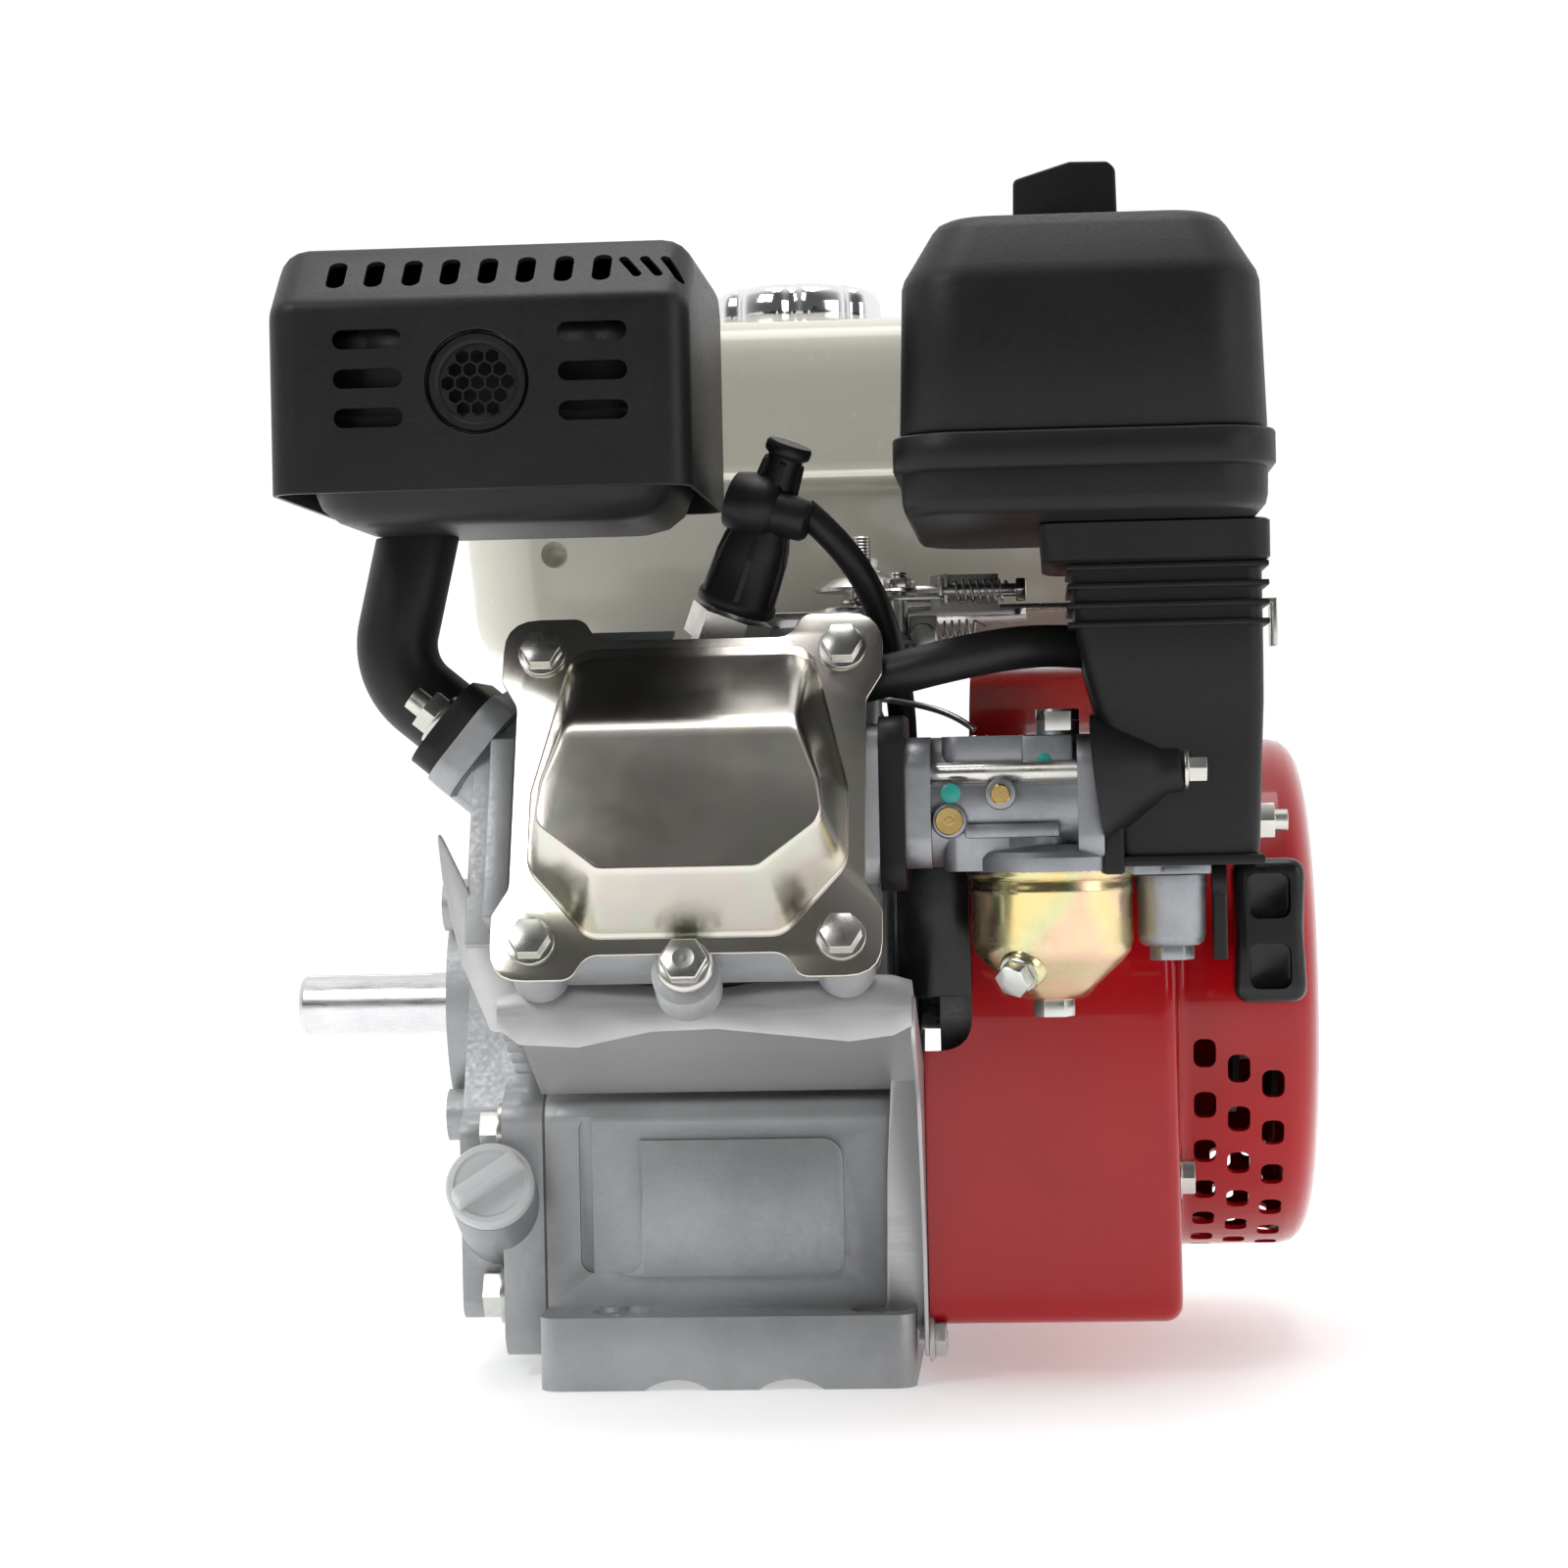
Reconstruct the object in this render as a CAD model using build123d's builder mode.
"""Small air-cooled single-cylinder gasoline engine with a horizontal crankshaft.

Millimetres, +Z up, origin at the centre of the base's mounting holes, on the base's underside.
-X is the output shaft's side, +X the recoil starter's, -Y the cylinder head's, +Y the tank's back.
"""
import os
from math import atan2, cos, degrees, pi, radians, sin, sqrt, tan

from build123d import *

os.makedirs("parts", exist_ok=True)

# ---- driving dimensions ----
crank_y, crank_z = 15.0, 106.0  # crankshaft axis above the base
cylinder_x = -8.0  # centre of the cylinder along the crankshaft
tilt = 25.0  # cylinder's rise above the horizontal, degrees
bore_radius = 34.0
stroke = 54.0
rod_length = 84.0
crown_height = 18.5  # piston pin to crown
skirt_height = 14.0  # piston pin to the bottom of the skirt
deck_gap = 0.5  # piston's crown below the cylinder's top face
gasket = 1.2
head_height = 51.8  # cylinder's top face to the rocker cover's seat
case_left, case_right = -61.0, 41.0
case_wall = 6.0
base_right = 48.0
base_half = 95.0  # half the base's length
base_thick = 21.0
mount_x, mount_y = 75.5, 162.0  # hole spacing
mount_hole_radius = 4.5
shaft_radius, shaft_end = 10.0, -150.0
journal_radius = 12.5
sheet = 1.2  # pressed steel
running_gap = 0.05
side_gap = 0.5  # between faces that turn or slide past each other

# ---- the cylinder's own directions ----
crank_radius = stroke / 2
rise = radians(tilt)
along_dir = Vector(0, -cos(rise), sin(rise))  # along the cylinder, outwards
up_dir = Vector(0, sin(rise), cos(rise))  # across the cylinder's face, upwards
pin_at = crank_radius + rod_length  # piston pin at top dead centre
crown_at = pin_at + crown_height
deck_at = crown_at + deck_gap
head_at = deck_at + gasket
seat_at = head_at + head_height


def head_point(across, up, along):
    """Point given across the engine, up the cylinder's face and along its axis from the crankshaft."""
    return Vector(cylinder_x + across, crank_y, crank_z) + up_dir * up + along_dir * along


def head_plane(along, across=0.0, up=0.0):
    """Plane square to the cylinder's axis."""
    return Plane(origin=head_point(across, up, along), x_dir=(1, 0, 0), z_dir=along_dir)


def side_plane(x, y=0.0, z=0.0):
    """Plane facing +X whose own x is +Y and y is +Z."""
    return Plane(origin=(x, y, z), x_dir=(0, 1, 0), z_dir=(1, 0, 0))


def crank_plane(x):
    """Plane facing +X on the crankshaft's axis."""
    return side_plane(x, crank_y, crank_z)


def front_plane(y, x=0.0, z=0.0):
    """Plane facing -Y whose own x is +X and y is +Z."""
    return Plane(origin=(x, y, z), x_dir=(1, 0, 0), z_dir=(0, -1, 0))


def level_plane(z, x=0.0, y=0.0):
    """Plane facing +Z."""
    return Plane(origin=(x, y, z))


def boss(plane, radius, length, mode=Mode.ADD):
    """Round boss, or a hole with Mode.SUBTRACT, on a plane of the part in work."""
    with BuildSketch(plane) as outline:
        Circle(radius)
    extrude(outline.sketch, amount=length, mode=mode)


def ring(plane, outer, inner, length, mode=Mode.ADD):
    """Tube standing on a plane of the part in work."""
    with BuildSketch(plane) as outline:
        Circle(outer)
        Circle(inner, mode=Mode.SUBTRACT)
    extrude(outline.sketch, amount=length, mode=mode)


def pad(plane, width, height, thick, corner=0.0, mode=Mode.ADD):
    """Rectangular pad, with rounded corners, on a plane of the part in work."""
    with BuildSketch(plane) as outline:
        if corner:
            RectangleRounded(width, height, corner)
        else:
            Rectangle(width, height)
    extrude(outline.sketch, amount=thick, mode=mode)


def cuboid(low, high, corner=0.0, mode=Mode.ADD):
    """Box between two corners, with rounded upright edges, in the part in work."""
    centre = ((low[0] + high[0]) / 2, (low[1] + high[1]) / 2)
    pad(level_plane(low[2], *centre), high[0] - low[0], high[1] - low[1], high[2] - low[2], corner, mode)


def prism(plane, points, length, corner=0.0, inset=0.0, mode=Mode.ADD):
    """Prism on a polygon with rounded corners, drawn in by inset, in the part in work."""
    with BuildSketch(plane) as outline:
        with BuildLine():
            Polyline(*points, close=True)
        make_face()
        if inset:
            offset(amount=-inset, kind=Kind.INTERSECTION)
        if corner:
            fillet(outline.vertices(), corner)
    extrude(outline.sketch, amount=length, mode=mode)


def hexagon(plane, across_flats, height, mode=Mode.ADD):
    """Hexagonal head or nut on a plane of the part in work."""
    with BuildSketch(plane) as outline:
        RegularPolygon(across_flats / 2, 6, major_radius=False)
    extrude(outline.sketch, amount=height, mode=mode)


flats = 1.62  # hexagon's width across flats, in thread sizes
washer_radius = 1.1  # flange's radius, in thread sizes
washer_thick = 0.2


def flange_bolts(planes, size, length, proud=0.0):
    """Hexagon flange bolts, or nuts on studs standing proud, seated on planes with shanks behind them."""
    with BuildPart() as made:
        for plane in planes:
            boss(plane, size * washer_radius, size * washer_thick)
            hexagon(plane.offset(size * washer_thick), size * flats, size * 0.65)
            boss(plane.offset(-length), size / 2, length + (size + proud if proud else size / 2))
    return made


def save(piece, name):
    """Label a piece and write its STEP file."""
    piece.part.label = name
    export_step(piece.part, f"parts/{name}.step")


# ---- layout shared by several pieces ----
panel_y = -72.0  # front of the crank chamber, below the cylinder
chamber_corner = 8.0
chamber = [
    (panel_y, 6), (panel_y, 80), (-62, 85), (-17, 179), (22, 189), (62, 178),
    (88, 142), (93, 96), (84, 50), (70, 6),
]
cover_joint = case_left - 0.8  # side cover's face behind its gasket
cover_flange = -74.0
cover_face = -88.0
boss_face = -98.0
bearing_radius, bearing_wide = 26.0, 15.0
left_bearing = -86.0
right_bearing = case_right - bearing_wide
seal_radius, seal_wide = 19.0, 7.0
right_boss = case_right + seal_wide
web_thick, web_radius = 13.0, crank_radius + 13.0
pin_wide = 24.0  # gap between the crank webs
pin_left = cylinder_x - pin_wide / 2
pin_right = cylinder_x + pin_wide / 2
crankpin_radius = 13.0
gear_left, gear_wide = -50.0, 8.0
cam_up, cam_along = -50.0, 17.0
cam_point = head_point(0, cam_up, cam_along)
gear_gap = sqrt(cam_up**2 + cam_along**2)
crank_teeth, cam_teeth = 20, 40
gear_module = 2 * gear_gap / (crank_teeth + cam_teeth)
cam_journal = 7.0
cam_left, cam_right = -78.0, 36.0
cam_boss = 12.0
barrel_radius = 42.0
barrel_in = 50.0  # where the barrel starts inside the chamber
fin_half, fin_thick, fin_pitch, fin_count = 50.0, 3.0, 9.0, 6
first_fin = 68.0
deck_flange = 8.0


def cam_plane(x):
    """Plane facing +X on the camshaft's axis."""
    return side_plane(x, cam_point.Y, cam_point.Z)


# ---- fasteners that pass through several pieces: each host is cut by them ----
cover_bolt_size, cover_bolt_length = 8.0, 32.0
cover_bolt_spots = [(panel_y + 9, 24), (panel_y + 9, 72), (-8, 173), (52, 172), (82, 105), (64, 24)]
side_cover_bolts = flange_bolts(
    [Plane(origin=(cover_flange, y, z), x_dir=(0, 1, 0), z_dir=(-1, 0, 0)) for y, z in cover_bolt_spots],
    cover_bolt_size, cover_bolt_length)

rocker_up = -13.0  # rocker box's centre below the cylinder's axis
rocker_bolt_across, rocker_bolt_up = 41.5, 43.0
rocker_spots = [(x, rocker_up + v) for x in (-rocker_bolt_across, rocker_bolt_across)
                for v in (-rocker_bolt_up, rocker_bolt_up)]
rocker_cover_bolts = flange_bolts([head_plane(seat_at + sheet, x, v) for x, v in rocker_spots], 6.0, 18.0)

head_bolt_spots = [(x, v) for x in (-38.0, 38.0) for v in (-38.0, 32.0)]
head_flange_at = head_at + 12.0
head_bolts = flange_bolts([head_plane(head_flange_at, x, v) for x, v in head_bolt_spots], 8.0, 32.0)

# ---- exhaust and intake ports ----
exhaust_dir = Vector(-0.77, 0, 0.64).normalized()
exhaust_face = Vector(-74, -112, 189)
exhaust_plane = Plane(origin=exhaust_face, x_dir=(0, 1, 0), z_dir=exhaust_dir)
exhaust_flange = 7.0
exhaust_nut_reach = 17.0
exhaust_nuts = flange_bolts(
    [Plane(origin=exhaust_face + exhaust_dir * exhaust_flange + Vector(0, reach, 0), x_dir=(0, 1, 0),
           z_dir=exhaust_dir) for reach in (-exhaust_nut_reach, exhaust_nut_reach)],
    7.0, 22.0, proud=4.0)
port_radius = 11.0
carb_y, carb_z = -124.0, 168.0  # intake axis
intake_face, carb_left, carb_right = 43.0, 50.0, 104.0
stud_spots = [(carb_y - 17, carb_z + 8), (carb_y + 15, carb_z - 7)]  # Y, Z
stud_seats = [126.0, 146.0]
stud_size, stud_in = 6.0, 28.0
with BuildPart() as carburettor_studs:
    for (stud_y, stud_z), seat in zip(stud_spots, stud_seats):
        boss(side_plane(stud_in, stud_y, stud_z), stud_size / 2, seat + 10 - stud_in)
        boss(side_plane(seat, stud_y, stud_z), stud_size * washer_radius, stud_size * washer_thick)
        hexagon(side_plane(seat + stud_size * washer_thick, stud_y, stud_z), stud_size * flats, 5)

# ---- spark plug ----
plug_foot = head_point(-9, 15, head_at + 2)
plug_dir = (Vector(0.35, 0, 0) + up_dir * 0.75 + along_dir * 0.55).normalized()


def plug_plane(reach):
    """Plane square to the spark plug, reach along it from its foot."""
    return Plane(origin=plug_foot + plug_dir * reach, x_dir=(1, 0, -plug_dir.X / plug_dir.Z), z_dir=plug_dir)


plug_seat = 38.0
with BuildPart() as spark_plug:
    boss(plug_plane(5), 6.5, plug_seat - 5)
    boss(plug_plane(plug_seat), 9.0, 4)
    hexagon(plug_plane(plug_seat + 4), 20.6, 9)
    boss(plug_plane(plug_seat + 13), 6.0, 24)
    boss(plug_plane(plug_seat + 37), 2.5, 9)

# ---- crankcase with its cylinder ----
control_post = 200.0  # top of the post that carries the control base
shroud_right = 125.0
shroud_bolt_circle = 88.0
drain_z, drain_x = 11.0, -30.0
control_z, control_thick = 222.0, 2.0
pivot_x, pivot_y, pivot_radius = 35.0, -48.0, 3.0
nut_seat = control_z + 2 * control_thick + 1.4
fastener_planes = [
    level_plane(control_post + 2, -2, -9),
    level_plane(nut_seat, pivot_x, pivot_y),
    Plane(origin=(drain_x, base_half, drain_z), x_dir=(1, 0, 0), z_dir=(0, 1, 0)),
] + [side_plane(shroud_right, crank_y + shroud_bolt_circle * cos(radians(turn)),
                crank_z + shroud_bolt_circle * sin(radians(turn))) for turn in (50, 130, 215, 325)]
body_bolts = flange_bolts(fastener_planes, 6.0, 8.0)
governor_x, governor_y, governor_radius, governor_foot = 30.0, 4.0, 3.0, 178.0
pocket_radius = 2 * mount_hole_radius
pocket_top = 95.0
with BuildPart() as pocket_walls:
    prism(side_plane(case_left), chamber, case_right - case_left, chamber_corner)
    with BuildSketch(level_plane(base_thick - 2)) as columns:
        with GridLocations(mount_x, mount_y, 2, 2):
            Circle(pocket_radius + 4)
    extrude(columns.sketch, amount=pocket_top + 6 - base_thick, mode=Mode.INTERSECT)
with BuildPart() as crankcase:
    cuboid((case_left, -base_half, 0), (base_right, base_half, base_thick), 6)
    prism(side_plane(case_left), chamber, case_right - case_left, chamber_corner)
    pad(front_plane(panel_y, -8, 50), 70, 40, 2, 6)
    pad(front_plane(panel_y + 2, -42, 54), 18, 46, 6, 4, Mode.SUBTRACT)
    prism(side_plane(case_left), chamber, case_right - case_left - case_wall, 2, case_wall, Mode.SUBTRACT)
    add(pocket_walls.part)
    boss(head_plane(barrel_in), barrel_radius, deck_at - barrel_in)
    for i in range(fin_count):
        pad(head_plane(first_fin + i * fin_pitch), 2 * fin_half, 2 * fin_half, fin_thick, 10)
    pad(head_plane(deck_at - deck_flange), 2 * fin_half - 6, 2 * fin_half - 6, deck_flange, 12)
    boss(crank_plane(right_bearing - 3), bearing_radius + 7, right_boss - right_bearing + 3)
    boss(cam_plane(cam_right - 9), cam_boss, 12)
    cuboid((-12, -15, 165), (8, -3, control_post))
    boss(head_plane(0), bore_radius, deck_at, Mode.SUBTRACT)
    boss(crank_plane(0), bearing_radius, case_right, Mode.SUBTRACT)
    boss(crank_plane(case_right), seal_radius, seal_wide, Mode.SUBTRACT)
    boss(cam_plane(0), cam_journal + running_gap, cam_right + side_gap, Mode.SUBTRACT)
    boss(level_plane(governor_foot - 8, governor_x, governor_y), 6, 22)
    boss(level_plane(governor_foot - side_gap, governor_x, governor_y), governor_radius + running_gap, 20,
         Mode.SUBTRACT)
    cuboid((case_left + 8, -62, 0), (base_right - 14, 62, 6), 6, Mode.SUBTRACT)
    with BuildSketch() as mount_holes:
        with GridLocations(mount_x, mount_y, 2, 2):
            Circle(mount_hole_radius)
    extrude(mount_holes.sketch, amount=base_thick, mode=Mode.SUBTRACT)
    with BuildSketch(level_plane(base_thick - 1.5)) as spot_faces:
        with GridLocations(mount_x, mount_y, 2, 2):
            Circle(pocket_radius)
    extrude(spot_faces.sketch, amount=pocket_top - base_thick, mode=Mode.SUBTRACT)
    for notch_x in (-21, 12):
        boss(front_plane(-base_half + 25, notch_x, -13), 16, 30, Mode.SUBTRACT)
    for fasteners in (side_cover_bolts, head_bolts, body_bolts):
        add(fasteners.part, mode=Mode.SUBTRACT)
save(crankcase, "crankcase")

# ---- side cover, its gasket, bearings and seals ----
filler_rise = radians(28)
filler_dir = Vector(0, -cos(filler_rise), sin(filler_rise))
filler_radius = 9.0
filler_foot = Vector(-76, -52, 42)
filler_reach = 32.0
filler_plane = Plane(origin=filler_foot, x_dir=(1, 0, 0), z_dir=filler_dir)
face_bolt_circle = 92.1 / 2
with BuildPart() as side_cover:
    prism(side_plane(cover_flange), chamber, cover_joint - cover_flange, chamber_corner)
    prism(side_plane(cover_face), chamber, cover_flange - cover_face, 6, 10)
    boss(crank_plane(boss_face), 37, cover_face - boss_face)
    with BuildSketch(crank_plane(boss_face)) as face_bosses:
        with PolarLocations(face_bolt_circle, 4, 45):
            Circle(8)
    extrude(face_bosses.sketch, amount=cover_flange - boss_face)
    prism(side_plane(cover_face + case_wall), chamber, cover_joint - cover_face - case_wall, 2, 16,
          Mode.SUBTRACT)
    boss(crank_plane(left_bearing), bearing_radius + 7, bearing_wide + 2)
    boss(cam_plane(cover_face + case_wall / 2), cam_boss, 17)
    boss(filler_plane, filler_radius + 4, filler_reach)
    boss(filler_plane.offset(-2), filler_radius, filler_reach + 2, Mode.SUBTRACT)
    with BuildSketch(crank_plane(boss_face)) as face_holes:
        with PolarLocations(face_bolt_circle, 4, 45):
            Circle(3.4)
    extrude(face_holes.sketch, amount=15, mode=Mode.SUBTRACT)
    boss(crank_plane(left_bearing), bearing_radius, bearing_wide + 3, Mode.SUBTRACT)
    boss(crank_plane(boss_face), seal_radius, seal_wide, Mode.SUBTRACT)
    boss(crank_plane(boss_face + 1), journal_radius + 1, left_bearing - boss_face, Mode.SUBTRACT)
    boss(cam_plane(cam_left - side_gap), cam_journal + running_gap, 20, Mode.SUBTRACT)
    add(side_cover_bolts.part, mode=Mode.SUBTRACT)
save(side_cover, "side_cover")

with BuildPart() as side_cover_gasket:
    prism(side_plane(cover_joint), chamber, case_left - cover_joint, chamber_corner)
    prism(side_plane(cover_joint), chamber, case_left - cover_joint, 2, case_wall, Mode.SUBTRACT)
    add(side_cover_bolts.part, mode=Mode.SUBTRACT)
save(side_cover_gasket, "side_cover_gasket")
save(side_cover_bolts, "side_cover_bolts")

with BuildPart() as crank_bearings:
    for bearing_x in (left_bearing, right_bearing):
        ring(crank_plane(bearing_x), bearing_radius, journal_radius + running_gap, bearing_wide)
save(crank_bearings, "crank_bearings")

with BuildPart() as oil_seals:
    for seal_x in (boss_face, case_right):
        ring(crank_plane(seal_x), seal_radius, journal_radius + running_gap, seal_wide)
save(oil_seals, "oil_seals")

with BuildPart() as oil_filler_cap:
    ring(filler_plane.offset(filler_reach), filler_radius + 4, 2, 5)
    boss(filler_plane.offset(filler_reach - 12), filler_radius - 0.3, 12)
    pad(filler_plane.offset(filler_reach + 5), 5, 26, 7, 1)
    boss(filler_plane.offset(filler_reach), 4, 5)
save(oil_filler_cap, "oil_filler_cap")

# ---- crankshaft, timing gears and camshaft ----
def gear(plane, teeth, width, turn):
    """Spur gear with straight-sided teeth, turned about its axis, on a plane of the part in work."""
    pitch = gear_module * teeth / 2
    half_tooth = pi * gear_module / 4 - 0.12
    with BuildSketch(plane) as outline:
        Circle(pitch - gear_module * 1.2)
        with PolarLocations(pitch - gear_module * 1.4, teeth, turn):
            with Locations(Rotation(0, 0, -90)):
                Trapezoid(2 * half_tooth * 1.35, gear_module * 2.3, 76, align=(Align.CENTER, Align.MIN))
    extrude(outline.sketch, amount=width)


mesh_angle = degrees(atan2(cam_point.Z - crank_z, cam_point.Y - crank_y))
key_wide = 5.0
taper_end, thread_end = 84.0, 122.0
with BuildPart() as crankshaft:
    boss(crank_plane(shaft_end), shaft_radius, boss_face - shaft_end)
    chamfer(crankshaft.edges().group_by(Axis.X)[0], 1.5)
    boss(crank_plane(boss_face), journal_radius, pin_left - boss_face)
    for web_x in (pin_left - web_thick, pin_right):
        with BuildSketch(crank_plane(web_x)) as web:
            Circle(web_radius)
            Rectangle(2 * web_radius, 58, rotation=180 - tilt, mode=Mode.INTERSECT)
        extrude(web.sketch, amount=web_thick)
    gear(crank_plane(gear_left), crank_teeth, gear_wide, mesh_angle)
    boss(crank_plane(pin_right), journal_radius, right_boss - pin_right)
    boss(crank_plane(right_boss), journal_radius - 2, taper_end - right_boss)
    boss(crank_plane(taper_end), 7, thread_end - taper_end)
    cuboid((shaft_end, crank_y - key_wide / 2, crank_z + shaft_radius - 3),
           (shaft_end + 42, crank_y + key_wide / 2, crank_z + shaft_radius + 1), mode=Mode.SUBTRACT)
save(crankshaft, "crankshaft")

with BuildPart() as camshaft:
    boss(cam_plane(cam_left), cam_journal, cam_right - cam_left)
    gear(cam_plane(gear_left), cam_teeth, gear_wide, mesh_angle + 180 + 180 / cam_teeth)
    for lobe_x, lobe_turn in ((-20, 200), (-4, 310)):
        with BuildSketch(cam_plane(lobe_x)) as lobe:
            Circle(9)
            with Locations((4 * cos(radians(lobe_turn)), 4 * sin(radians(lobe_turn)))):
                Circle(7)
            make_hull()
        extrude(lobe.sketch, amount=8)
save(camshaft, "camshaft")

# ---- piston, rings, pin and connecting rod, at top dead centre ----
piston_radius = bore_radius - running_gap
pin_radius = 9.0
boss_gap = 10.0  # half the space between the piston's pin bosses
ring_depth, ring_thick = 3.0, 1.5
crown_thick = 5.5
small_end = 12.5
ring_spots = [crown_at - 5 - 3.5 * i for i in range(3)]
pin_plane = Plane(origin=head_point(0, 0, pin_at), x_dir=up_dir, z_dir=(1, 0, 0))
with BuildPart() as piston:
    boss(head_plane(pin_at - skirt_height), piston_radius, skirt_height + crown_height)
    boss(head_plane(pin_at - skirt_height), piston_radius - 5, skirt_height + crown_height - crown_thick,
         Mode.SUBTRACT)
    for boss_x in (-29, boss_gap):
        boss(pin_plane.offset(boss_x), pin_radius + 4, 29 - boss_gap)
    boss(pin_plane.offset(-bore_radius), pin_radius, 2 * bore_radius, Mode.SUBTRACT)
    for along in ring_spots:
        ring(head_plane(along), bore_radius, piston_radius - ring_depth, ring_thick, Mode.SUBTRACT)
save(piston, "piston")

with BuildPart() as piston_rings:
    for along in ring_spots:
        ring(head_plane(along), piston_radius, piston_radius - ring_depth, ring_thick)
save(piston_rings, "piston_rings")

with BuildPart() as piston_pin:
    ring(pin_plane.offset(-28), pin_radius, 5, 56)
save(piston_pin, "piston_pin")

rod_wall = 6.0
pin_gap = 0.2  # crankpin's ends to the crank webs
crankpin_plane = Plane(origin=head_point(0, 0, crank_radius), x_dir=up_dir, z_dir=(1, 0, 0))
with BuildPart() as connecting_rod:
    boss(crankpin_plane.offset(side_gap - pin_wide / 2), crankpin_radius + rod_wall, pin_wide - 2 * side_gap)
    boss(pin_plane.offset(-9), small_end, 18)
    prism(crankpin_plane.offset(-5), [(-9, 0), (9, 0), (7, rod_length), (-7, rod_length)], 10)
    boss(crankpin_plane.offset(-pin_wide), crankpin_radius, 2 * pin_wide, Mode.SUBTRACT)
    boss(pin_plane.offset(-pin_wide), pin_radius, 2 * pin_wide, Mode.SUBTRACT)
    boss(crankpin_plane.offset(pin_gap - pin_wide / 2), crankpin_radius - 0.02, pin_wide - 2 * pin_gap)
save(connecting_rod, "connecting_rod")

# ---- cylinder head, gasket, rocker cover ----
box_across, box_up = 44.0, 46.0  # half the rocker box's width and height
with BuildPart() as cylinder_head:
    pad(head_plane(head_at), 2 * fin_half - 6, 2 * fin_half - 6, head_flange_at - head_at, 12)
    pad(head_plane(head_flange_at), 2 * fin_half - 30, 2 * fin_half - 30, seat_at - head_flange_at - 20, 8)
    for along in (head_at + 2, head_at + 16, head_at + 24):
        pad(head_plane(along), 2 * fin_half, 2 * fin_half, fin_thick, 10)
    pad(head_plane(seat_at - 22, 0, rocker_up), 2 * box_across, 2 * box_up, 22, 10)
    for x, v in rocker_spots:
        boss(head_plane(seat_at - 22, x, v), 8, 22)
    boss(exhaust_plane.offset(-46), port_radius + 6, 46)
    pad(exhaust_plane.offset(-8), 52, 30, 8, 8)
    boss(side_plane(20, carb_y, carb_z), port_radius + 7, intake_face - 20)
    pad(side_plane(intake_face - 8, carb_y, carb_z), 50, 44, 8, 8)
    boss(plug_plane(20), 13, plug_seat - 20)
    boss(head_plane(seat_at - 12, 0, rocker_up - box_up - 6), 9, 12)
    pad(head_plane(head_at - 60), 400, 400, 60, 0, Mode.SUBTRACT)
    boss(head_plane(head_at), bore_radius - 4, 6, Mode.SUBTRACT)
    pad(head_plane(seat_at - 17, 0, rocker_up), 2 * box_across - 10, 2 * box_up - 10, 17, 6, Mode.SUBTRACT)
    boss(exhaust_plane.offset(-46), port_radius, 47, Mode.SUBTRACT)
    boss(side_plane(10, carb_y, carb_z), port_radius, intake_face, Mode.SUBTRACT)
    boss(plug_plane(plug_seat), 14, 10, Mode.SUBTRACT)
    for x, v in head_bolt_spots:
        boss(head_plane(head_flange_at, x, v), 10.5, 12, Mode.SUBTRACT)
    for fasteners in (head_bolts, rocker_cover_bolts, exhaust_nuts, carburettor_studs, spark_plug):
        add(fasteners.part, mode=Mode.SUBTRACT)
save(cylinder_head, "cylinder_head")
save(head_bolts, "head_bolts")
save(spark_plug, "spark_plug")

with BuildPart() as head_gasket:
    pad(head_plane(deck_at), 2 * fin_half - 8, 2 * fin_half - 8, gasket, 12)
    boss(head_plane(deck_at), bore_radius, gasket, Mode.SUBTRACT)
    add(head_bolts.part, mode=Mode.SUBTRACT)
save(head_gasket, "head_gasket")

dome_height = 28.0
with BuildPart() as rocker_cover:
    pad(head_plane(seat_at, 0, rocker_up), 2 * box_across + 22, 2 * box_up + 16, sheet, 14)
    with BuildSketch(head_plane(seat_at, 0, rocker_up)) as dome_foot:
        RectangleRounded(86, 84, 10)
    extrude(dome_foot.sketch, amount=dome_height, taper=14)
    with BuildSketch(head_plane(seat_at, 0, rocker_up)) as dome_inside:
        RectangleRounded(86 - 2 * sheet, 84 - 2 * sheet, 9)
    extrude(dome_inside.sketch, amount=dome_height - sheet, taper=14, mode=Mode.SUBTRACT)
    add(rocker_cover_bolts.part, mode=Mode.SUBTRACT)
save(rocker_cover, "rocker_cover")
save(rocker_cover_bolts, "rocker_cover_bolts")

# ---- spark plug cap, its lead and the ignition coil ----
coil_x, coil_wide = 64.0, 22.0
flywheel_radius, coil_gap = 76.0, 0.6
coil_turn = 138.0
coil_plane = Plane(origin=(coil_x, crank_y + cos(radians(coil_turn)) * (flywheel_radius + coil_gap),
                           crank_z + sin(radians(coil_turn)) * (flywheel_radius + coil_gap)),
                   x_dir=(1, 0, 0), z_dir=(0, cos(radians(coil_turn)), sin(radians(coil_turn))))
cap_foot, cap_length = plug_seat + 14.5, 46.0
lead_radius = 4.0
with BuildPart() as spark_plug_cap:
    boss(plug_plane(cap_foot), 11.5, cap_length)
    boss(plug_plane(cap_foot + cap_length), 8, 3)
    boss(side_plane(8, -115, 252), 8, 16)
    add(spark_plug.part, mode=Mode.SUBTRACT)
save(spark_plug_cap, "spark_plug_cap")

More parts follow.
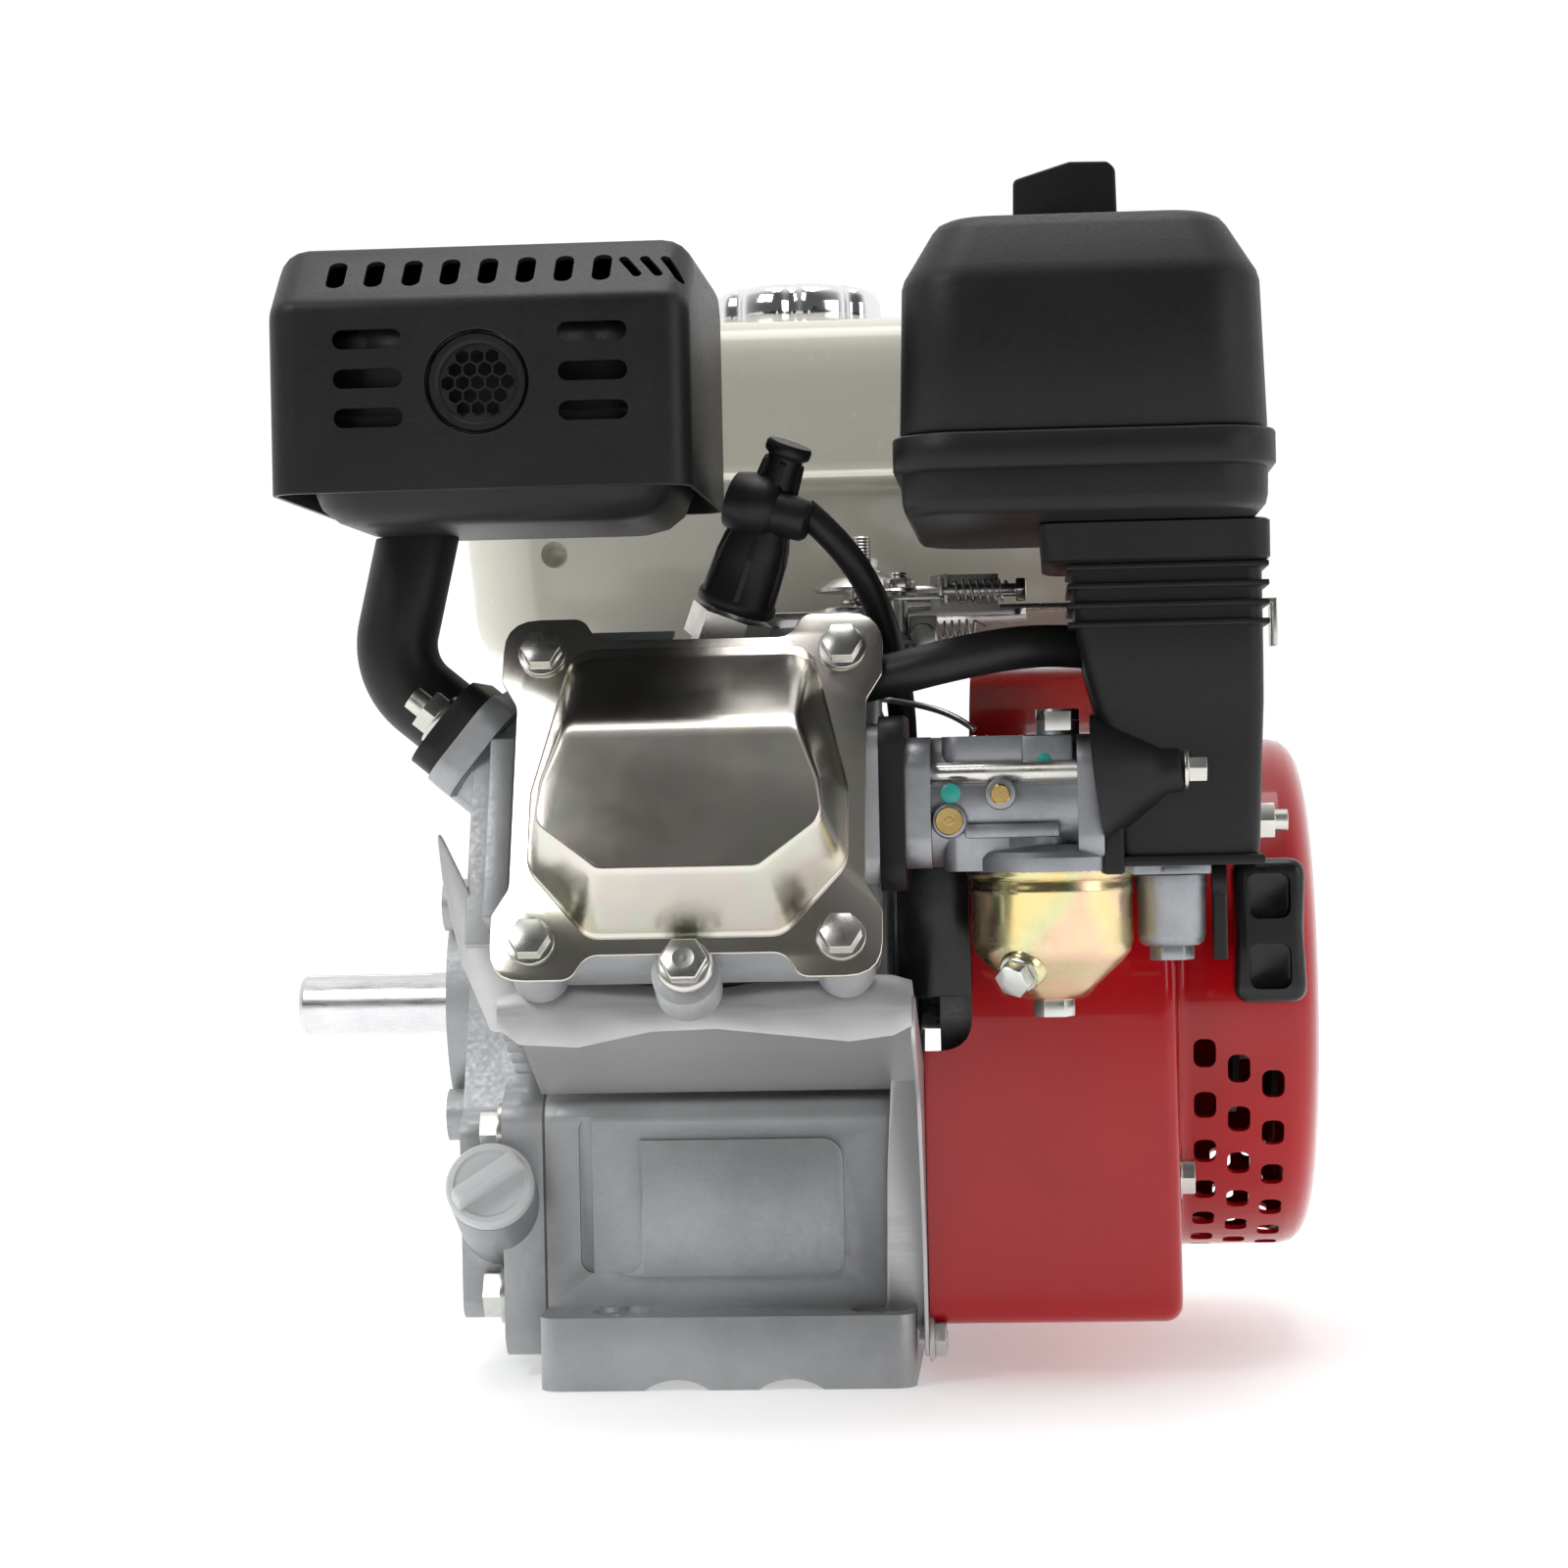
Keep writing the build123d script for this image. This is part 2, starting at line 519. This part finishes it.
# ---- exhaust: pipe, muffler, heat shield and screen ----
muffler_low, muffler_high = (-110, -176, 246), (-9, -84, 300)
muffler_wall = 1.5
pipe_radius = 11.5
pipe_top = Vector(-86, -112, muffler_low[2] + 10)
tail_x, tail_z, tail_radius = -59.5, 279.0, 11.0  # muffler's outlet
with BuildPart() as muffler_body:
    cuboid(muffler_low, muffler_high, 20)
    cuboid([v + muffler_wall for v in muffler_low], [v - muffler_wall for v in muffler_high], 18,
           Mode.SUBTRACT)
    boss(front_plane(muffler_low[1] + 2, tail_x, tail_z), tail_radius, 7)
    boss(front_plane(muffler_low[1] + 4, tail_x, tail_z), tail_radius - 1.5, 12, Mode.SUBTRACT)
save(muffler_body, "muffler_body")

with BuildPart() as exhaust_pipe:
    pad(exhaust_plane, 50, 28, exhaust_flange, 8)
    with BuildLine() as pipe_line:
        FilletPolyline(exhaust_face + exhaust_dir, exhaust_face + exhaust_dir * 30, pipe_top, radius=20)
    with BuildSketch(Plane(origin=pipe_line.line @ 0, z_dir=pipe_line.line % 0)) as pipe_section:
        Circle(pipe_radius)
    sweep(pipe_section.sketch, path=pipe_line.line)
    boss(exhaust_plane, port_radius - 1, exhaust_flange + 3, Mode.SUBTRACT)
    cuboid((-130, -150, muffler_low[2]), (-50, -80, muffler_low[2] + 30), mode=Mode.SUBTRACT)
    add(exhaust_nuts.part, mode=Mode.SUBTRACT)
save(exhaust_pipe, "exhaust_pipe")
save(exhaust_nuts, "exhaust_nuts")

screen_radius = 14.0
with BuildPart() as spark_arrester:
    ring(front_plane(muffler_low[1] - 5, tail_x, tail_z), screen_radius - 0.5, tail_radius - 2, 2)
    boss(front_plane(muffler_low[1] - 6, tail_x, tail_z), screen_radius - 0.5, 1)
save(spark_arrester, "spark_arrester")

shield_low, shield_high = (-116, -185, 253.5), (-3, -76, 321)
shield_chamfer, shield_lean = 17.0, 20.0
shield_outline = [
    (shield_low[1], shield_low[2]), (shield_low[1], shield_high[2] - shield_chamfer),
    (shield_low[1] + shield_lean, shield_high[2]), (shield_high[1], shield_high[2]),
    (shield_high[1], shield_low[2]),
]
with BuildPart() as muffler_shield:
    prism(side_plane(shield_low[0]), shield_outline, shield_high[0] - shield_low[0])
    prism(side_plane(shield_low[0] + sheet), shield_outline, shield_high[0] - shield_low[0] - 2 * sheet,
          inset=sheet, mode=Mode.SUBTRACT)
    cuboid((shield_low[0] + sheet, shield_low[1] + sheet, shield_low[2]),
           (shield_high[0] - sheet, shield_high[1] - sheet, shield_low[2] + 10), mode=Mode.SUBTRACT)
    boss(front_plane(shield_low[1] + 5, tail_x, tail_z), screen_radius + 0.5, 10, Mode.SUBTRACT)
    for bolt_x in (shield_low[0] + 30, shield_high[0] - 30):
        boss(level_plane(muffler_high[2], bolt_x, -130), 5, shield_high[2] - sheet / 2 - muffler_high[2])
save(muffler_shield, "muffler_shield")

# ---- fuel tank and its cap ----
tank_left, tank_right, tank_front, tank_back = -100.0, 135.0, -15.0, 170.0
tank_low, seam_z, tank_high = 216.0, 268.0, 320.0
cap_x, cap_y, cap_radius = 10.0, 66.0, 28.0
tank_wall = 1.6
tank_crown = 10.0  # depth of the slope round the top
neck_radius, neck_high = 20.0, 9.0
outlet_x, outlet_z = 110.0, 221.5
tank_width, tank_depth = tank_right - tank_left, tank_back - tank_front
tank_x, tank_y = (tank_left + tank_right) / 2, (tank_front + tank_back) / 2


def tank_solid(inset, mode):
    """Tank's outer shape drawn in by inset, added to the part in work."""
    wide, deep = tank_width - 10 - 2 * inset, tank_depth - 10 - 2 * inset
    for height, taper in ((tank_high - tank_crown - seam_z - inset, 3), (tank_low + inset - seam_z, 12)):
        with BuildSketch(level_plane(seam_z, tank_x, tank_y)) as outline:
            RectangleRounded(wide, deep, 24 - inset)
        if height < 0:
            outline_plane = level_plane(tank_low + inset, tank_x, tank_y)
            with BuildSketch(outline_plane) as narrow:
                RectangleRounded(wide - 22, deep - 22, 18 - inset)
            loft([outline.sketch.face(), narrow.sketch.face()], mode=mode)
        else:
            extrude(outline.sketch, amount=height, taper=taper, mode=mode)
    with BuildSketch(level_plane(tank_high - tank_crown - inset, tank_x, tank_y)) as shoulder:
        RectangleRounded(wide - 6, deep - 6, 22 - inset)
    with BuildSketch(level_plane(tank_high - inset, tank_x, tank_y)) as crown:
        RectangleRounded(wide - 36, deep - 36, 18 - inset)
    loft([shoulder.sketch.face(), crown.sketch.face()], mode=mode)


with BuildPart() as fuel_tank:
    tank_solid(0, Mode.ADD)
    pad(level_plane(seam_z - 1, tank_x, tank_y), tank_width, tank_depth, 2, 26)
    boss(level_plane(tank_high - 5, cap_x, cap_y), neck_radius, neck_high + 5)
    tank_solid(tank_wall, Mode.SUBTRACT)
    boss(level_plane(tank_high - 10, cap_x, cap_y), neck_radius - tank_wall, 30, Mode.SUBTRACT)
    boss(front_plane(4, outlet_x, outlet_z), 4, 22)
    boss(front_plane(8, outlet_x, outlet_z), 2.5, 30, Mode.SUBTRACT)
save(fuel_tank, "fuel_tank")

with BuildPart() as fuel_cap:
    boss(level_plane(tank_high + neck_high, cap_x, cap_y), cap_radius, 8)
    ring(level_plane(tank_high + 2, cap_x, cap_y), cap_radius, neck_radius + 0.4, neck_high - 2)
    with BuildSketch(level_plane(tank_high + 4, cap_x, cap_y)) as lobes:
        with PolarLocations(cap_radius + 1, 8):
            Circle(4)
    extrude(lobes.sketch, amount=neck_high + 4, mode=Mode.SUBTRACT)
    fillet(fuel_cap.edges().group_by(Axis.Z)[-1], 2)
save(fuel_cap, "fuel_cap")

# ---- air cleaner on its elbow ----
cleaner_left, cleaner_right, cleaner_front, cleaner_back = 50.0, 150.0, -200.0, -42.0
elbow_top, cleaner_seam, cleaner_top = 243.0, 264.0, 322.0
cleaner_wall = 2.5
elbow_front, elbow_back, elbow_right = -150.0, -90.0, 148.0
elbow_wall = 3.5
knob_x, knob_y = 97.0, -120.0
knob_stud = 3.0
cleaner_x, cleaner_y = (cleaner_left + cleaner_right) / 2, (cleaner_front + cleaner_back) / 2
cleaner_width, cleaner_depth = cleaner_right - cleaner_left, cleaner_back - cleaner_front
throat = 12.0
elbow_foot, elbow_step, foot_front = 151.0, 199.0, -140.0
rim_wide, rim_high = 2.0, 11.0
lower_duct = [
    (carb_right, elbow_foot), (124, elbow_foot), (elbow_right, 190),
    (elbow_right, elbow_step), (carb_right, elbow_step),
]
lower_channel = [
    (carb_right + elbow_wall, elbow_foot + elbow_wall), (122, elbow_foot + elbow_wall),
    (elbow_right - elbow_wall, 191), (elbow_right - elbow_wall, elbow_step + elbow_wall),
    (carb_right + elbow_wall, elbow_step + elbow_wall),
]
with BuildPart() as intake_elbow:
    prism(front_plane(elbow_back), lower_duct, elbow_back - foot_front)
    cuboid((carb_right - 4, elbow_front, elbow_step), (elbow_right, elbow_back, elbow_top), 4)
    cuboid((88, elbow_front, elbow_top - rim_high), (elbow_right + rim_wide, elbow_back, elbow_top), 4)
    for (stud_y, stud_z), seat in zip(stud_spots, stud_seats):
        boss(side_plane(carb_right, stud_y, stud_z), 6, seat - carb_right)
    prism(front_plane(elbow_back - elbow_wall), lower_channel, elbow_back - foot_front - 2 * elbow_wall,
          mode=Mode.SUBTRACT)
    cuboid((carb_right + elbow_wall, elbow_front + elbow_wall, elbow_step + elbow_wall),
           (elbow_right - elbow_wall, elbow_back - elbow_wall, elbow_top), mode=Mode.SUBTRACT)
    for (stud_y, stud_z), seat in zip(stud_spots, stud_seats):
        boss(side_plane(carb_right, stud_y, stud_z), 5.5, seat - carb_right)
    boss(side_plane(carb_right - 1, carb_y, carb_z), throat, 10, Mode.SUBTRACT)
    boss(level_plane(elbow_top - 8, knob_x, knob_y), knob_stud, 8, Mode.SUBTRACT)
    add(carburettor_studs.part, mode=Mode.SUBTRACT)
save(intake_elbow, "intake_elbow")

with BuildPart() as air_cleaner_case:
    pad(level_plane(elbow_top, cleaner_x, cleaner_y), cleaner_width, cleaner_depth,
        cleaner_seam - elbow_top, 18)
    pad(level_plane(elbow_top + 4, cleaner_x, cleaner_y), cleaner_width - 2 * cleaner_wall,
        cleaner_depth - 2 * cleaner_wall, cleaner_seam - elbow_top, 16, Mode.SUBTRACT)
    boss(level_plane(elbow_top, 126, -119), 14, 10, Mode.SUBTRACT)
    boss(level_plane(elbow_top - 8, knob_x, knob_y), knob_stud, cleaner_top + 10 - elbow_top)
save(air_cleaner_case, "air_cleaner_case")

with BuildPart() as filter_element:
    pad(level_plane(elbow_top + 5, cleaner_x, cleaner_y), cleaner_width - 24, cleaner_depth - 24, 45, 12)
    pad(level_plane(elbow_top + 5, cleaner_x, cleaner_y), cleaner_width - 54, cleaner_depth - 54, 35, 10,
        Mode.SUBTRACT)
    boss(level_plane(elbow_top, knob_x, knob_y), knob_stud + 1, 80, Mode.SUBTRACT)
save(filter_element, "filter_element")


def cleaner_dome(inset, mode):
    """Air cleaner cover's outer shape drawn in by inset, added to the part in work."""
    wide, deep = cleaner_width - 4 - 2 * inset, cleaner_depth - 4 - 2 * inset
    pad(level_plane(cleaner_seam, cleaner_x, cleaner_y), wide, deep, 37, 17 - inset, mode)
    with BuildSketch(level_plane(cleaner_seam + 37, cleaner_x, cleaner_y)) as shoulder:
        RectangleRounded(wide, deep, 17 - inset)
    with BuildSketch(level_plane(cleaner_top - inset, cleaner_x, cleaner_y)) as crown:
        RectangleRounded(wide - 36, deep - 36, 14)
    loft([shoulder.sketch.face(), crown.sketch.face()], mode=mode)


with BuildPart() as air_cleaner_cover:
    cleaner_dome(0, Mode.ADD)
    cleaner_dome(cleaner_wall, Mode.SUBTRACT)
    boss(level_plane(elbow_top, knob_x, knob_y), knob_stud + 0.3, 90, Mode.SUBTRACT)
save(air_cleaner_cover, "air_cleaner_cover")

with BuildPart() as air_cleaner_knob:
    boss(level_plane(cleaner_top + 0.2, knob_x, knob_y), 15, 8)
    pad(level_plane(cleaner_top + 8.2, knob_x, knob_y), 9, 34, 15, 3)
    boss(level_plane(cleaner_top, knob_x, knob_y), knob_stud + running_gap, 12, Mode.SUBTRACT)
save(air_cleaner_knob, "air_cleaner_knob")

# ---- carburettor ----
bowl_x, bowl_y, bowl_radius = 89.6, -126.0, 22.5
bowl_top, bowl_low = 149.0, 125.0
valve_x, cup_low = 122.5, 127.0
with BuildPart() as carburettor_insulator:
    pad(side_plane(intake_face, carb_y, carb_z), 50, 48, carb_left - intake_face, 8)
    boss(side_plane(intake_face, carb_y, carb_z), port_radius, carb_left - intake_face, Mode.SUBTRACT)
    add(carburettor_studs.part, mode=Mode.SUBTRACT)
save(carburettor_insulator, "carburettor_insulator")

choke_x, choke_z = 92.0, 190.0
with BuildPart() as carburettor_body:
    for flange_x in (carb_left, carb_right - 7):
        pad(side_plane(flange_x, carb_y, carb_z), 48, 36, 7, 9)
    boss(side_plane(carb_left, carb_y, carb_z), 18, carb_right - carb_left)
    cuboid((carb_left + 10, carb_y - 16, bowl_top), (carb_right - 10, carb_y + 14, carb_z + 18), 5)
    boss(level_plane(bowl_top, bowl_x - 8, bowl_y), bowl_radius - 8, 10)
    cuboid((carb_right - 10, carb_y - 8, bowl_top - 2), (valve_x + 11, carb_y + 14, 150.8), 3)
    boss(Plane(origin=(valve_x, carb_y + 12.1, bowl_top - 1), x_dir=(1, 0, 0), z_dir=(0, 1, 0)), 3, 7.9)
    boss(level_plane(cup_low + 20, valve_x, carb_y + 2), 10.5, bowl_top - cup_low - 20)
    boss(level_plane(carb_z + 17, choke_x, carb_y), 6, 5)
    boss(level_plane(bowl_low - 10, bowl_x, bowl_y), bowl_radius + 0.4, bowl_top - bowl_low + 10,
         Mode.SUBTRACT)
    boss(side_plane(carb_left, carb_y, carb_z), throat, carb_right - carb_left, Mode.SUBTRACT)
    boss(level_plane(carb_z, choke_x, carb_y), 3 + running_gap, 40, Mode.SUBTRACT)
    cuboid((carb_left + 16, carb_y - 5, bowl_top), (carb_left + 26, carb_y + 5, carb_z))
    boss(side_plane(carb_left, carb_y, carb_z), throat, carb_right - carb_left, Mode.SUBTRACT)
    add(carburettor_studs.part, mode=Mode.SUBTRACT)
save(carburettor_body, "carburettor_body")
save(carburettor_studs, "carburettor_studs")

with BuildPart() as float_bowl:
    boss(level_plane(bowl_low, bowl_x, bowl_y), bowl_radius, bowl_top - bowl_low)
    with BuildSketch(level_plane(bowl_low, bowl_x, bowl_y)) as bowl_rim:
        Circle(bowl_radius - 1.5)
    with BuildSketch(level_plane(bowl_low - 12, bowl_x, bowl_y)) as bowl_foot:
        Circle(8)
    loft([bowl_rim.sketch.face(), bowl_foot.sketch.face()])
    boss(level_plane(bowl_low + 1.5, bowl_x, bowl_y), bowl_radius - 1, bowl_top - bowl_low, Mode.SUBTRACT)
    boss(level_plane(bowl_low - 20, bowl_x, bowl_y), 3, 30, Mode.SUBTRACT)
save(float_bowl, "float_bowl")

with BuildPart() as bowl_bolt:
    hexagon(level_plane(bowl_low - 17, bowl_x, bowl_y), 10, 5)
    boss(level_plane(bowl_low - 12, bowl_x, bowl_y), 3, bowl_top - bowl_low + 12)
save(bowl_bolt, "bowl_bolt")

with BuildPart() as sediment_cup:
    boss(level_plane(cup_low, valve_x, carb_y + 2), 10, 20)
    hexagon(level_plane(cup_low - 4, valve_x, carb_y + 2), 12, 4)
    boss(level_plane(cup_low + 2, valve_x, carb_y + 2), 8.5, 18, Mode.SUBTRACT)
save(sediment_cup, "sediment_cup")

with BuildPart() as choke_lever:
    boss(level_plane(carb_z, choke_x, carb_y), 3, 24)
    boss(level_plane(choke_z + 0.2, choke_x, carb_y), 6, 3)
    cuboid((choke_x - 3.5, carb_y - 24, choke_z + 0.2), (choke_x + 3.5, carb_y, choke_z + 2.2), 2)
    cuboid((choke_x - 3.5, carb_y - 25, choke_z - 3), (choke_x + 3.5, carb_y - 23, choke_z + 2.2))
save(choke_lever, "choke_lever")

with BuildPart() as fuel_valve_lever:
    boss(side_plane(valve_x + 11.3, carb_y + 2, bowl_top - 4), 5, 4)
    cuboid((valve_x + 11.3, carb_y - 1, bowl_top - 26), (valve_x + 15.3, carb_y + 5, bowl_top - 4), 1)
save(fuel_valve_lever, "fuel_valve_lever")

# ---- controls on their post ----
with BuildPart() as control_base:
    cuboid((-14, -76, control_z), (84, -20, control_z + control_thick), 4)
    cuboid((-14, -22, control_post + 2), (8, -20, control_z + control_thick))
    cuboid((-14, -22, control_post), (8, -3, control_post + 2))
    cuboid((56, -76, control_z), (76, -74, control_z + 12))
    cuboid((40, -76, control_z - 14), (54, -74, control_z + control_thick))
    add(body_bolts.part, mode=Mode.SUBTRACT)
save(control_base, "control_base")

lever_end = 158.0
with BuildPart() as control_lever:
    ring(level_plane(control_z + control_thick + 0.2, pivot_x, pivot_y), 13, pivot_radius + running_gap, 2)
    cuboid((pivot_x + 8, -54, control_z + control_thick + 0.2),
           (lever_end, -42, control_z + control_thick + 2.2))
    cuboid((lever_end - 2, -54, control_z - 10), (lever_end, -42, control_z + control_thick + 2.2))
save(control_lever, "control_lever")

arm_z = 210.0
with BuildPart() as governor_arm:
    boss(level_plane(governor_foot, governor_x, governor_y), governor_radius, arm_z + 2 - governor_foot)
    boss(level_plane(arm_z - 3, governor_x, governor_y), 8, 6)
    cuboid((governor_x - 5, -84, arm_z), (governor_x + 5, governor_y, arm_z + 2), 2)
save(governor_arm, "governor_arm")

# ---- sheet deflector and plastic guard between the head and the carburettor ----
deflector_up = -55.0
deflector_in, deflector_out = 68.0, 158.0
deflector_left, deflector_right = -60.0, 51.0
guard_left, guard_right, guard_y = 45.0, 66.0, -90.0
guard_low, guard_high = 112.0, 186.0
with BuildPart() as cylinder_deflector:
    with BuildSketch(head_plane(deflector_in)) as sheet_end:
        with Locations(((deflector_left + deflector_right) / 2 - cylinder_x, deflector_up)):
            Rectangle(deflector_right - deflector_left, sheet)
    extrude(sheet_end.sketch, amount=deflector_out - deflector_in)
    prism(front_plane(panel_y - 3), [(42, 36), (48, 36), (51, 92), (42, 92)], sheet)
    cuboid((42, panel_y - 3 - sheet, 36), (48, panel_y + 9, 38))
    boss(head_plane(seat_at - 12, 0, deflector_up), 9, 12, Mode.SUBTRACT)
save(cylinder_deflector, "cylinder_deflector")

with BuildPart() as carburettor_guard:
    cuboid((guard_left, guard_y - 2, guard_low), (guard_right, guard_y, guard_high))
save(carburettor_guard, "carburettor_guard")

# ---- flywheel, cooling fan and starter cup ----
flywheel_left, flywheel_right = 56.0, 84.0
fan_right, cup_right = 108.0, 122.0
with BuildPart() as flywheel:
    boss(crank_plane(flywheel_left), flywheel_radius, flywheel_right - flywheel_left)
    ring(crank_plane(flywheel_left), flywheel_radius - 12, 22, 14, Mode.SUBTRACT)
    boss(crank_plane(flywheel_left), journal_radius - 2, 60, Mode.SUBTRACT)
save(flywheel, "flywheel")

fan_blades = 14
with BuildPart() as cooling_fan:
    ring(crank_plane(flywheel_right), flywheel_radius - 2, 7, 3)
    with BuildSketch(crank_plane(flywheel_right + 3)) as blades:
        with PolarLocations(56, fan_blades):
            with Locations(Rotation(0, 0, 35)):
                Rectangle(34, 3)
        Circle(flywheel_radius - 2, mode=Mode.INTERSECT)
    extrude(blades.sketch, amount=fan_right - flywheel_right - 5)
save(cooling_fan, "cooling_fan")

with BuildPart() as starter_cup:
    ring(crank_plane(flywheel_right + 3), 26, 7, 3)
    ring(crank_plane(flywheel_right + 3), 26, 23, cup_right - flywheel_right - 3)
    hexagon(crank_plane(flywheel_right + 6), 19, 11)
    boss(crank_plane(flywheel_right), 7, 60, Mode.SUBTRACT)
save(starter_cup, "starter_cup")

# ---- red fan shroud, recoil starter and its rope ----
shroud_left = 52.0
shroud_low, shroud_radius = 16.0, 103.0
starter_right, starter_radius = 168.0, 79.0
shroud_wall = 1.5
opening_radius = 72.0
switch_y, switch_z = 58.0, 187.0


def shroud_outline(plane, inset, length, mode):
    """Fan shroud's outline drawn in by inset, extruded in the part in work."""
    with BuildSketch(plane) as outline:
        with BuildLine():
            front = Line((-shroud_radius, shroud_low - crank_z), (-shroud_radius, 0))
            over = CenterArc((0, 0), shroud_radius, 180, -140)
            down = Polyline(over @ 1, (84, 20), (78, shroud_low - crank_z))
            Line(down @ 1, front @ 0)
        make_face()
        if inset:
            offset(amount=-inset)
    extrude(outline.sketch, amount=length, mode=mode)


with BuildPart() as fan_shroud:
    shroud_outline(crank_plane(shroud_left), 0, shroud_right - shroud_left, Mode.ADD)
    shroud_outline(crank_plane(shroud_left), shroud_wall, shroud_right - shroud_left - shroud_wall,
                   Mode.SUBTRACT)
    boss(crank_plane(shroud_right - 5), opening_radius, 10, Mode.SUBTRACT)
    boss(side_plane(shroud_right - 5, switch_y, switch_z), 3 + running_gap, 10, Mode.SUBTRACT)
    add(body_bolts.part, mode=Mode.SUBTRACT)
save(fan_shroud, "fan_shroud")
save(body_bolts, "body_bolts")

with BuildPart() as engine_switch:
    boss(side_plane(shroud_right - 4, switch_y, switch_z), 3, 5)
    boss(side_plane(shroud_right + 0.2, switch_y, switch_z), 11, 6)
    pad(side_plane(shroud_right + 6.2, switch_y, switch_z), 7, 24, 8, 2)
save(engine_switch, "engine_switch")

with BuildPart() as ignition_coil:
    pad(coil_plane, 14, 44, 12, 0)
    pad(coil_plane.offset(3), coil_wide, 24, 13, 4)
    boss(crank_plane(coil_x - coil_wide), flywheel_radius + coil_gap, 40, Mode.SUBTRACT)
save(ignition_coil, "ignition_coil")

reel_left, reel_wide, reel_radius, rope_run = 144.0, 14.0, 38.0, 24.0
post_radius, rope_radius = 6.0, 2.0
grip_front, grip_back, grip_low, grip_high = -100.0, -84.0, 109.0, 150.0
grip_half = 10.5
rope_x = reel_left + reel_wide / 2
with BuildPart() as starter_housing:
    boss(crank_plane(shroud_right), starter_radius, starter_right - shroud_right - 8)
    with BuildSketch(crank_plane(starter_right - 8)) as rim:
        Circle(starter_radius)
    with BuildSketch(crank_plane(starter_right)) as crown:
        Circle(starter_radius - 14)
    loft([rim.sketch.face(), crown.sketch.face()])
    boss(crank_plane(shroud_right), starter_radius - 2, starter_right - shroud_right - 9, Mode.SUBTRACT)
    boss(crank_plane(reel_left), post_radius, starter_right - 6 - reel_left)
    cuboid((rope_x - 8, crank_y - starter_radius - 4, crank_z + rope_run - 9),
           (rope_x + 8, crank_y - starter_radius + 16, crank_z + rope_run + 9), 2)
    boss(front_plane(0, rope_x, crank_z + rope_run), rope_radius + 1, 120, Mode.SUBTRACT)
    for row_x, slots in ((shroud_right + 9, 16), (shroud_right + 21, 16)):
        with BuildSketch(crank_plane(row_x)) as slot_row:
            with PolarLocations(starter_radius, slots, 190, 130):
                Rectangle(12, 4)
        extrude(slot_row.sketch, amount=8, mode=Mode.SUBTRACT)
save(starter_housing, "starter_housing")

with BuildPart() as starter_reel:
    ring(crank_plane(reel_left), reel_radius, post_radius + running_gap, 2)
    ring(crank_plane(reel_left + 2), rope_run - rope_radius - 0.5, post_radius + running_gap, reel_wide - 4)
    ring(crank_plane(reel_left + reel_wide - 2), reel_radius, post_radius + running_gap, 2)
save(starter_reel, "starter_reel")

rope_plane = front_plane(crank_y, rope_x, crank_z + rope_run)
with BuildPart() as starter_rope:
    boss(rope_plane, rope_radius, crank_y - grip_front - 6)
save(starter_rope, "starter_rope")

with BuildPart() as starter_grip:
    cuboid((rope_x - grip_half, grip_front, grip_low), (rope_x + grip_half, grip_back, grip_high), 5)
    boss(front_plane(grip_front + 6, rope_x, crank_z + rope_run), 4, 7, Mode.SUBTRACT)
    boss(rope_plane, rope_radius, crank_y - grip_front - 6, Mode.SUBTRACT)
save(starter_grip, "starter_grip")


# ---- tank bracket on the crankcase ----
bracket_left, bracket_right, bracket_front, bracket_back, bracket_thick = -48.0, -20.0, 14.0, 60.0, 2.5
with BuildPart() as tank_bracket:
    cuboid((bracket_left, bracket_front, 170), (bracket_right, bracket_back, tank_low))
    cuboid((bracket_left + bracket_thick, bracket_front - 1, 160),
           (bracket_right - bracket_thick, bracket_back + 1, tank_low - bracket_thick), mode=Mode.SUBTRACT)
    prism(side_plane(case_left), chamber, case_right - case_left, chamber_corner, mode=Mode.SUBTRACT)
save(tank_bracket, "tank_bracket")

# ---- hoses and the plug lead, each along its real route ----
plug_lead_route = [
    (22, -115, 251), (33, -113, 241), (42, -107, 225), (46, -97, 209), (47.4, -83, 195), (47.2, -68, 183),
    (47.4, -56, 171), (54, -49, 163),
]
breather_route = [
    (34, -130, 201), (47, -135, 203.5), (62, -137, 207), (78, -133, 210), (92, -126, 211), (103, -121, 210),
]
fuel_route = [
    (122.5, -110, 148), (122.2, -99, 146), (120, -87.5, 143.5),
    (117, -82.3, 153), (114, -75.5, 171), (111, -65, 190),
    (110, -50, 206), (110, -34, 217), (110, -18, outlet_z),
]


def hose(route, radius, neighbours):
    """Round hose along a route of straight runs joined by arcs as large as the runs allow.

    Its ends are cut to the faces of the neighbours that it plugs into.
    """
    points = [Vector(*point) for point in route]
    bends = []
    for before, here, after in zip(points, points[1:], points[2:]):
        turn = (here - before).get_angle(after - here)
        shorter = min((here - before).length, (after - here).length)
        bends.append(0.45 * shorter / tan(radians(turn) / 2))
    print("bend radii", [round(bend) for bend in bends], "hose radius", radius)
    with BuildPart() as made:
        with BuildLine() as line:
            FilletPolyline(*points, radius=bends)
        with BuildSketch(Plane(origin=line.line @ 0, z_dir=line.line % 0)) as section:
            Circle(radius)
        sweep(section.sketch, path=line.line)
        run = sum(edge.length for edge in line.line.edges())
        for neighbour in neighbours:
            add(neighbour.part, mode=Mode.SUBTRACT)
    print("volume", round(made.part.volume), "against", round(pi * radius**2 * run))
    return made


breather_radius, fuel_hose_radius = 6.0, 3.4
save(hose(plug_lead_route, lead_radius, [spark_plug_cap, ignition_coil]), "ignition_lead")
save(hose(breather_route, breather_radius, [cylinder_head, rocker_cover, rocker_cover_bolts, intake_elbow]),
     "breather_tube")
save(hose(fuel_route, fuel_hose_radius, [carburettor_body, fuel_tank]), "fuel_hose")
